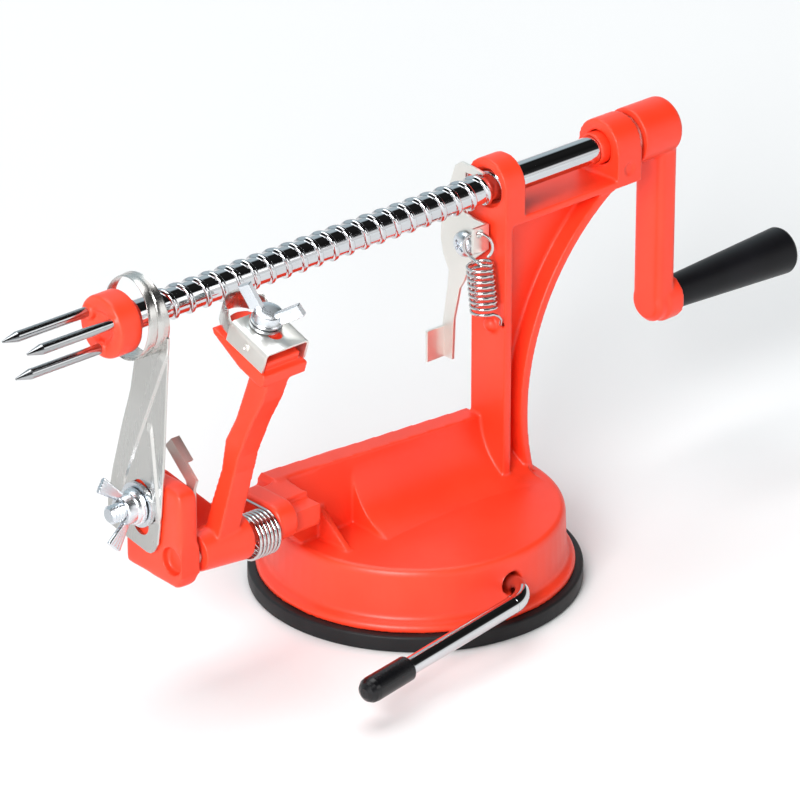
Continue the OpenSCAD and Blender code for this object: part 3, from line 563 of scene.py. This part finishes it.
def with_wings(hub, wing, place):
    """A turned hub with two wings grown out of it."""
    pair = merged(*[moved(wing, turn(a, "Z") @ turn(90, "X")) for a in (0, 180)])
    return combined(hub, soft(mesh_piece("wings", *moved(pair, place)), 0.16, 8), "UNION")


def wing_nut():
    seat_x, set_at, top, bore_r = -109.15, 16, 5.8, 3.12
    seat = shift(seat_x, STUD_Y, STUD_Z) @ turn(-90, "Y") @ turn(set_at, "Z")
    hub = lathe([(0, TIP), (0, 5.5), (0.15, 5.7), (1.2, 5.8), (1.5, 5.4), (2.4, 5.2), (2.8, 4.8), (4.9, 4.5),
                 (5.5, 4.25), (top, 3.9), (top, TIP)], (0, 0, 0), axis_x=False)
    nut = with_wings(mesh_piece("wing_nut", *moved(hub, seat)), fluted_wing(top), seat)
    bore = lathe([(-2, bore_r), (9, bore_r)], (0, 0, 0), axis_x=False)
    return placed(cut(nut, mesh_piece("bore", *moved(bore, seat))), "corer_wing_nut")


def thumb_screw():
    end, top, wing_h, thread_r, seat_h, set_at = -11.3, 3.8, 4.5, 2.0, BRACKET_H + 1.7, 117
    turned = lathe([(end, TIP), (end, 1.6), (end + 0.4, thread_r), (0, thread_r), (0, 4.6), (0.15, 4.75),
                    (0.8, 4.8), (1.1, 4.5), (top - 0.5, 4.35), (top - 0.15, 4.2), (top, 3.9),
                    (top + 0.08, 2.0), (top + 0.1, TIP)], (0, 0, 0), axis_x=False)
    seat = BRACKET @ shift(0, SCREW_U, seat_h) @ turn(set_at, "Z")
    screw = mesh_piece("thumb_screw", *moved(turned, seat))
    return placed(with_wings(screw, bar_wing(wing_h), seat), "blade_wing_screw")


def stud():
    """Stud with its rolled thread showing past the nut, and a head behind the boss."""
    r, depth, pitch, end = 2.85, 0.5, 1.1, -119.35
    head_x, back_x, shank_r, head_r = -98.78, -96.18, 3.0, 5.0
    point = [(end, TIP), (end, r - 0.75), (end + 0.4, r - 0.35)]
    thread_x = [end + 0.4 + pitch * i / 4 for i in range(1, 36)]
    ridges = [(x, r - depth * (0, 0.5, 1, 0.5)[i % 4]) for i, x in enumerate(thread_x)]
    head = [(head_x - 0.04, shank_r), (head_x, shank_r), (head_x, head_r), (back_x, head_r), (back_x, TIP)]
    return placed(mesh_piece("stud", *lathe(point + ridges + head, (0, STUD_Y, STUD_Z))), "corer_stud")


def pan_screw():
    """Pan-head screw with a cross recess that narrows to its bottom."""
    seat, r, shank_r, end = 26.3, 4.2, 2.0, 32.0
    top = seat - 2.6
    profile = [(top, TIP), (top, 1.6), (top + 0.12, 2.3), (top + 0.5, 3.1), (top + 1.0, 3.7),
               (top + 1.6, 4.05), (top + 2.2, r), (seat - 0.25, r), (seat, r - 0.2), (seat, shank_r),
               (end, shank_r), (end, TIP)]
    screw = mesh_piece("pan_screw", *lathe(profile, (0, LATCH_Y, LATCH_Z)))
    taper = [(-0.6, -2.1), (0.6, -2.1), (1.9, -1.2), (1.9, 1.2), (0.6, 2.1), (-0.6, 2.1)]
    for degrees in (45, 135):
        place = shift(top, LATCH_Y, LATCH_Z) @ turn(degrees, "X")
        cut(screw, mesh_piece("recess", *moved(prism(taper, -0.45, 0.45), place)))
    return placed(applied(bevelled(screw, 0.1, 35)), "latch_screw")


wing_nut()
thumb_screw()
stud()
pan_screw()


# Rubber pad

def pad():
    """Suction pad: rounded lip, a channel above it, and a dished underside with a sealing bead."""
    underside = [(TIP, 1.6), (30.0, 1.3), (40.0, 0.6), (43.6, 0.25), (44.4, 0.0), (46.2, 0.0), (46.8, 0.3),
                 (47.6, 0.3), (48.4, 0.0), (50.9, 0.0)]
    lip = [(51.5, 0.15), (51.9, 0.5), (52.0, 1.0), (52.0, 4.7), (51.92, 5.05), (51.7, 5.3), (51.35, 5.45),
           (50.9, 5.5)]
    inside = [(43.0, 5.5), (42.2, 5.3), (37.0, 2.9), (35.4, 2.3), (TIP, 2.2)]
    profile = [(z, r) for r, z in underside + lip + inside]
    return placed(mesh_piece("pad", *lathe(profile, (0, 0, 0), axis_x=False, steps=160)), "suction_pad")


pad()


# Slicer plate and corer ring

PLATE_X = -107.15  # front of the plate
BORE_R = 11.8  # inside of the ring
# the plate's edges as (z, y), and its lower edge as (y, z)
RIGHT_EDGE = [(49.2, -5.8), (54.0, -6.6), (60.0, -7.5), (68.6, -8.4), (78.8, -9.4), (90.1, -10.2),
              (102.7, -11.2), (113.3, -12.2), (122.0, -12.6)]
LEFT_EDGE = [(49.8, 17.6), (55.8, 17.4), (66.5, 14.9), (84.7, 9.4), (95.8, 5.6), (107.0, 3.2), (109.3, 3.2),
             (113.0, 7.0)]
LOWER_EDGE = [(-5.8, 49.2), (-4.2, 46.4), (-2.3, 45.0), (-0.6, 44.8), (8.06, 46.36), (16.6, 47.9),
              (17.6, 49.8)]
# pressed ribs: both ends as (y, z), and half the width
RIBS = [((-11.6, 115.0), (11.6, 62.6), 1.6), ((-3.0, 88.0), (-6.2, 56.0), 1.15)]
RIB_HIGH, RIB_FLANK = 0.7, 0.6


def rib_height(y, z):
    """How far the pressed ribs stand out of the sheet here."""
    best = 0.0
    for (y0, z0), (y1, z1), half in RIBS:
        d = Vector((y1 - y0, z1 - z0))
        s = ((y - y0) * d.x + (z - z0) * d.y) / d.length_squared
        away = abs((y - y0) * d.y - (z - z0) * d.x) / d.length
        along = min(1, max(0, s * 12), max(0, (1 - s) * 8))
        best = max(best, eased((half - away) / RIB_FLANK + 0.5) * along)
    return RIB_HIGH * best


def slicer():
    """Plate with two pressed ribs, a slot for its stud and the ring's bore."""
    top, bottom, columns, rows = 118.0, 44.8, 110, 190
    width = columns + 1
    side_points = (rows + 1) * width
    broken_edge = {0: 0.22, 1: 0.06}  # how far the sheet draws in along its two upright edges
    verts, faces = [], []
    for front in (True, False):
        for i in range(rows + 1):
            for j in range(columns + 1):
                s = j / columns
                z = top - (top - bottom) * i / rows
                y = between(RIGHT_EDGE, z) * (1 - s) + between(LEFT_EDGE, z) * s
                z = max(z, between(LOWER_EDGE, y))
                rim = broken_edge.get(min(j, columns - j), 0)
                rib = rib_height(y, z)
                verts.append((PLATE_X + rim - rib if front else PLATE_X + SHEET - rim - 0.8 * rib, y, z))
    for i in range(rows):
        for j in range(columns):
            a = i * width + j
            b = a + side_points
            faces.append((a, a + 1, a + width + 1, a + width))
            faces.append((b, b + width, b + width + 1, b + 1))
    border = list(range(width)) + [i * width + columns for i in range(1, rows + 1)]
    border += [rows * width + j for j in range(columns - 1, -1, -1)]
    border += [i * width for i in range(rows - 1, 0, -1)]
    for a, b in zip(border, border[1:] + border[:1]):
        faces.append((a, side_points + a, side_points + b, b))
    plate = mesh_piece("slicer", verts, faces)

    # the rows below the lower edge have all come to lie on it
    bm = bmesh.new()
    bm.from_mesh(plate.data)
    bmesh.ops.remove_doubles(bm, verts=bm.verts, dist=1e-6)
    bmesh.ops.dissolve_degenerate(bm, edges=bm.edges, dist=1e-7)
    bmesh.ops.recalc_face_normals(bm, faces=bm.faces)
    bm.to_mesh(plate.data)
    bm.free()

    slot_r, slot_half, slot_drop = 3.45, 8.95, 1.2
    slot = prism(stadium(slot_r, slot_half), -4, 4)
    at_stud = shift(PLATE_X, STUD_Y, STUD_Z - slot_drop) @ UPRIGHT
    cut(plate, mesh_piece("slot", *moved(slot, at_stud)))
    bore = lathe([(-120, BORE_R + 0.2), (-100, BORE_R + 0.2)], (0, 0, SHAFT_Z), steps=96)
    cut(plate, mesh_piece("bore", *bore))
    return placed(plate, "slicer_plate")


def ring():
    """Rolled band, cut aslant in front, pressed with a groove and turned out to the plate."""
    middle_x, slant, slant_at, back_x, steps = -112.55, 2.4, math.radians(50), -106.75, 120
    # share of the way from front to back, radius
    band = [(0.0, 12.05), (0.05, 12.25), (0.15, 12.35), (0.42, 12.4), (0.48, 12.08), (0.53, 12.08),
            (0.6, 12.4), (0.8, 12.45), (0.93, 12.5), (1.0, 12.58), (1.04, 12.5), (1.04, 12.2),
            (0.97, BORE_R + 0.05), (0.6, BORE_R), (0.1, BORE_R), (0.0, 11.95)]
    verts = []
    for j in range(steps):
        a = 2 * math.pi * j / steps
        front = middle_x + slant * math.cos(a - slant_at)
        verts += [(front + (back_x - front) * share, r * math.cos(a), SHAFT_Z + r * math.sin(a))
                  for share, r in band]
    return placed(mesh_piece("ring", verts, skin(len(band), steps, closed=True)), "corer_ring")


slicer()
ring()


# Blade bracket, blade and catch

def sheet_u(width, height, corner, thick, steps=10):
    """Section of a bent channel, open below: along its outside, then back along its inside."""
    cx, cz = width / 2 - corner, height - corner
    outer, inner = [(width / 2, 0)], [(width / 2 - thick, 0)]
    for i in range(steps + 1):
        a = math.pi / 2 * i / steps
        outer.append((cx + corner * math.cos(a), cz + corner * math.sin(a)))
        inner.append((cx + (corner - thick) * math.cos(a), cz + (corner - thick) * math.sin(a)))
    whole = [half + [(-x, z) for x, z in reversed(half)] for half in (outer, inner)]
    return whole[0] + list(reversed(whole[1]))


def bracket():
    """Channel with a slot for the thumb screw and a rivet on each side."""
    section = sheet_u(BRACKET_W, BRACKET_H, 1.7, SHEET)
    ends = [0.0, 0.12, BRACKET_L - 0.12, BRACKET_L]
    verts = [(x, u, z) for u in ends for x, z in section]
    faces = caps(len(section), len(ends)) + skin(len(section), len(ends))
    channel = mesh_piece("bracket", *moved((verts, faces), BRACKET))
    slot = prism(stadium(2.35, 6.35), BRACKET_H - 2, BRACKET_H + 2)
    cut(channel, mesh_piece("slot", *moved(slot, BRACKET @ shift(0, SCREW_U - 0.3, 0))))
    rivet_u, rivet_v = 8.2, 3.4
    rivet = ringed([(TIP, 0), (1.15, 0), (1.1, 0.35), (0.6, 0.5), (0.45, 0.3), (TIP, 0.3)], 24)
    rivets = [moved(rivet, BRACKET @ shift(side * BRACKET_W / 2, rivet_u, rivet_v) @ turn(90 * side, "Y"))
              for side in (-1, 1)]
    taken_in(channel, mesh_piece("rivets", *merged(*rivets)))
    return placed(applied(bevelled(channel, 0.15, 50)), "blade_bracket")


def blade():
    """Strip bent to a loop between the bracket's walls, ground to an edge along its top."""
    r, thick, reach, held = BRACKET_W / 2 - SHEET, 0.7, 9.7, 6
    loop_u = BRACKET_L + reach - r
    start = BRACKET_L - held
    steps, straight = 28, 24
    path = [(r, start + (loop_u - start) * i / straight) for i in range(straight)]
    arc = [math.pi * i / steps for i in range(steps + 1)]
    path += [(r * math.cos(a), loop_u + r * math.sin(a)) for a in arc]
    path += [(-w, u) for w, u in reversed(path[:straight])]
    verts = []
    for w, u in path:
        inward = Vector((-w, loop_u - u if u > loop_u else 0)).normalized()
        out = (u - BRACKET_L) / 3.4
        high = 5.8 + 2.8 * eased(out)
        low = 1.2 + 0.4 * min(1, max(0, out))
        section = ((0.03, low), (0.03, high - 1.3), (0.3, high), (thick, high - 0.9), (thick, low))
        verts += [(w + inward.x * depth, u + inward.y * depth, v) for depth, v in section]
    faces = skin(len(section), len(path)) + caps(len(section), len(path))
    strip = mesh_piece("blade", *moved((verts, faces), BRACKET))
    return placed(applied(bevelled(strip, 0.08, 25)), "peel_blade")


def catch():
    """Strip that turns on the arm's rod, with a thumb tab folded off its end."""
    x, thick, half, eye, bore_r, tab_len, tab_wide = -98.45, 1.0, 2.1, 3.5, 2.58, 8.4, 3.2
    knee, end = Vector((-0.5, 24.0)), Vector((9.7, 33.2))
    run = (end - knee).normalized()
    side = Vector((-run.y, run.x))
    round_eye = [math.radians(a) for a in range(180, 361, 12)]
    outline = [(eye * math.cos(a), eye * math.sin(a)) for a in round_eye]
    outline += [(knee.x + half, knee.y - 1.2), knee - half * side + 1.4 * run, end - half * side,
                end + half * side, knee + half * side - 1.2 * run, (-1.6, knee.y - 2.4), (-1.6, eye)]
    flat = prism([(v[0], v[1]) for v in outline], 0, thick)
    tab_start, fold = end - tab_len * run, half - thick
    corners = (tab_start + half * side, end + half * side, end + fold * side, tab_start + fold * side)
    tab = prism([tuple(corner) for corner in corners], 0, tab_wide)
    stand = shift(x, PIVOT_Y, PIVOT_Z) @ UPRIGHT
    piece = combined(mesh_piece("catch", *moved(flat, stand)), mesh_piece("tab", *moved(tab, stand)), "UNION")
    bore = lathe([(-105, bore_r), (-90, bore_r)], (0, PIVOT_Y, PIVOT_Z))
    cut(piece, mesh_piece("bore", *bore))
    return placed(applied(bevelled(piece, 0.2, 40)), "arm_catch")


bracket()
blade()
catch()


# Thread of the feed screw

def thread():
    """Rounded ridge wound on the rod, which runs out at both ends."""
    pitch, crest, root, shaft_r, high, sunk = 6.16, 1.3, 2.3, 4.35, 0.8, 0.15
    first_x, last_x, steps = -103.0, 35.0, 40
    # the ridge starts where the latch's tooth lies between two turns of it
    latch_x, tooth_deg = 27.15, 68
    ridge_x0 = latch_x - pitch / 2 - pitch * tooth_deg / 360
    k0 = math.ceil((first_x - ridge_x0) / pitch * steps)
    count = math.floor((last_x - first_x) / pitch * steps)
    flank = [(root / 2, -sunk), (root * 0.42, 0.12), (crest * 0.62, 0.55), (crest * 0.42, 0.76),
             (crest * 0.15, high)]
    section = [(-dx, h) for dx, h in flank] + list(reversed(flank))
    verts = []
    for i in range(count + 1):
        k = k0 + i
        x, a = ridge_x0 + pitch * k / steps, 2 * math.pi * k / steps
        fade = min(1, (i + 2) / 8, (count - i + 2) / 8)
        for dx, h in section:
            r = shaft_r - sunk + (h + sunk) * fade
            verts.append((x + dx, r * math.cos(a), SHAFT_Z + r * math.sin(a)))
    faces = skin(len(section), count + 1) + caps(len(section), count + 1)
    return placed(mesh_piece("thread", verts, faces), "screw_thread")


thread()


# Springs

def latch_spring():
    """Close coil with a hook into the post below and a ring in the latch's ear above."""
    low, lean, length, r = Vector((23.75, -5.0, SHAFT_Z - 38.2)), math.radians(7.6), 15.8, 4.05
    turns, per, wire_r = 9, 36, 0.5

    def at(radius, a, h):
        return low + Vector((radius * math.cos(a), radius * math.sin(a) * math.cos(lean) + h * math.sin(lean),
                             -radius * math.sin(a) * math.sin(lean) + h * math.cos(lean)))

    coil = [at(r, math.radians(-90) - 2 * math.pi * i / per, length * i / (turns * per))
            for i in range(turns * per + 1)]
    hy, hz, px = -8.6, SHAFT_Z - 43.5, 29.0
    hook = [(px + 3, hy + 1.2, hz), (px + 0.9, hy + 1.2, hz), (px - 0.9, hy + 0.8, hz + 0.3),
            (px - 1.9, hy, hz + 1.5), (px - 2.3, hy - 0.6, hz + 3.2), (px - 3.6, hy - 0.7, hz + 4.8), coil[0]]
    ring_r, ring_turned = 4.4, math.radians(38)
    middle = at(0, 0, length + ring_r + 0.9)
    across, up = Vector((-math.sin(ring_turned), math.cos(ring_turned), 0)), Vector((0, 0, 1))
    round_ring = [math.radians(a) for a in range(-50, 231, 8)]
    loop = [middle + ring_r * (math.cos(a) * across + math.sin(a) * up) for a in round_ring]
    rise = [coil[-1], at(r * 0.8, math.radians(-135), length + 0.9), loop[0]]
    path = smooth_path(hook, 8)[:-1] + coil[:-1] + smooth_path(rise, 6)[:-1] + loop
    piece = mesh_piece("latch_coil", *tube(path, wire_r, 12))
    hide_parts("latch_spring")
    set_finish(piece, "spring_wire")
    # the lower hook stays on the post, the ring goes with the latch's ear
    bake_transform(piece, "base", "latch", start=low * MM, end=at(0, 0, length) * MM)
    return piece


def arm_spring():
    """Torsion spring round the arm's hub, with a leg over the beam."""
    r, y0, z0, wire, pitch = 6.6, -10.9, 43.2, 1.05, 1.47
    turns, per, lug_x, gap = 6, 48, -68.8, 0.35
    x1 = lug_x - gap - wire / 2
    x0 = x1 - pitch * turns
    top = z0 + r
    wound = [(i / per, math.pi / 2 - 2 * math.pi * i / per) for i in range(turns * per + 1)]
    coil = [(x0 + pitch * n, y0 + r * math.cos(a), z0 + r * math.sin(a)) for n, a in wound]
    tail = [(x0, y0 - t, top) for t in (2.4, 1.6, 0.8)]
    leg = [(x1, y, top) for y in (-9.0, -6.0, -3.0, 0.0, 2.5, 4.5)] + [(x1, 5.5, top - 0.6), (x1, 5.7, 46.85)]
    wire_path = tail + coil + smooth_path(leg, 5)
    return placed(mesh_piece("arm_coil", *tube(wire_path, wire / 2, 12, (1, 0, 0))), "arm_spring")


latch_spring()
arm_spring()


# Finishes on everything that shows: the record's slot, or what is named here

FINISH = {"wing_nut": "zinc", "thumb_screw": "zinc", "stud": "zinc", "corer_washer": "zinc",
          "blade_washer": "zinc", "pan_screw": "zinc", "feed_latch": "satin", "bracket": "satin",
          "catch": "strip_steel", "fork_prongs": "tines"}
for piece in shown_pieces():
    slot = piece.get("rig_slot") or SLOT_OF[piece.name]
    piece.data.materials.clear()
    piece.data.materials.append(MATERIALS[FINISH.get(piece.name, slot)])

weld = nodes["feed_latch"].modifiers.new("weld", "WELD")
weld.merge_threshold = 2e-6
bevelled(nodes["feed_latch"], 0.16, 40)


# Stage: pale floor, white studio and three soft lights

FLOOR_HALF = 9000
floor = mesh_piece("floor", [(-FLOOR_HALF, -FLOOR_HALF, 0), (FLOOR_HALF, -FLOOR_HALF, 0),
                             (FLOOR_HALF, FLOOR_HALF, 0), (-FLOOR_HALF, FLOOR_HALF, 0)], [(0, 1, 2, 3)])
pale = Material("pale_floor")
pale.drive("Base Color", pale.ramp(pale.noise(3, 2), [(0.3, (0.86, 0.86, 0.86)), (0.7, (0.88, 0.88, 0.88))]))
pale.fixed(Roughness=0.9, Emission_Color=(1, 1, 1, 1))
# away from the object the floor lightens into the background
far = pale.add("ShaderNodeVectorMath", operation="LENGTH")
pale.join(pale.coords, far.inputs[0])
pale.drive("Emission Strength", pale.remap(far.outputs["Value"], 0.0, 0.5, start=0.25, stop=1.4))
floor.data.materials.append(pale.made)

world = bpy.data.worlds.new("studio")
scene.world = world
world.use_nodes = True
sky = Tree(world.node_tree)
way = sky.add("ShaderNodeSeparateXYZ")
sky.join(sky.add("ShaderNodeTexCoord").outputs["Generated"], way.inputs["Vector"])
# white walls to a little over eye height, dark above them in front, a pale blue screen behind
WALLS = [(0.0, 0.95), (0.16, 0.95), (0.27, 0.03), (0.6, 0.01), (0.9, 0.02), (1.0, 0.1)]
walls = sky.ramp(way.outputs["Z"], [(z, (grey,) * 3) for z, grey in WALLS])
on_screen = sky.add("ShaderNodeMath", operation="MULTIPLY")
sky.join(sky.remap(way.outputs["Y"], start=0.3, stop=0.45), on_screen.inputs[0])
sky.join(sky.remap(way.outputs["Z"], start=0.16, stop=0.3), on_screen.inputs[1])
screen = sky.add("ShaderNodeMixRGB", Color2=(0.56, 0.67, 0.72, 1))
sky.join(on_screen.outputs["Value"], screen.inputs["Fac"])
sky.join(walls, screen.inputs["Color1"])
sky.join(screen.outputs["Color"], sky.tree.nodes["Background"].inputs["Color"])


def softbox(name, at, size, power):
    """A rectangular light, in metres and watts, aimed at the object's middle."""
    aim = Vector((0, 0, 0.06))
    lamp = bpy.data.lights.new(name, "AREA")
    lamp.shape = "RECTANGLE"
    lamp.size, lamp.size_y = size
    lamp.energy = power
    obj = link(name, lamp)
    obj.location = at
    obj.rotation_euler = (aim - Vector(at)).to_track_quat("-Z", "Y").to_euler()


softbox("top", (0.0, 0.35, 1.7), (1.5, 1.2), 18)
softbox("key", (-1.3, -0.7, 0.85), (0.8, 0.8), 32)
softbox("fill", (0.55, -1.4, 0.75), (0.9, 0.6), 3)


def flag(name, at, half_size, grey):
    """A card that only metal sees, for the darker side of its shine."""
    x, y, z = at
    w, d = half_size
    card = mesh_piece(name, [(x - w, y - d, z), (x + w, y - d, z), (x + w, y + d, z), (x - w, y + d, z)],
                      [(0, 1, 2, 3)])
    shade = Material(name)
    shade.drive("Base Color", shade.ramp(shade.noise(4, 2), [(0.3, (grey,) * 3), (0.7, (grey * 1.3,) * 3)]))
    shade.fixed(Roughness=0.9)
    card.data.materials.append(shade.made)
    card.visible_camera = card.visible_diffuse = card.visible_shadow = card.visible_transmission = False


flag("plate_flag", (-270, 170, 2), (130, 120), 0.5)


# Camera, fitted to the photograph

AZIMUTH, ELEVATION = math.radians(-42.012), math.radians(25.648)
DISTANCE, AIM, OFF_RIGHT, OFF_UP = 1666.96, Vector((0, 0, 60)), -4.733, -0.163
lens = bpy.data.cameras.new("view")
lens.sensor_width = 36.0
lens.lens = 245.96
lens.clip_end = 50
camera = link("view", lens)
to_camera = Vector((math.sin(AZIMUTH) * math.cos(ELEVATION), -math.cos(AZIMUTH) * math.cos(ELEVATION),
                    math.sin(ELEVATION)))
right = Vector((math.cos(AZIMUTH), math.sin(AZIMUTH), 0))
up = to_camera.cross(right)
camera.location = (AIM + DISTANCE * to_camera + OFF_RIGHT * right + OFF_UP * up) * MM
camera.rotation_mode = "QUATERNION"
camera.rotation_quaternion = (-to_camera).to_track_quat("-Z", "Y")
scene.camera = camera
scene.view_settings.view_transform = "Standard"
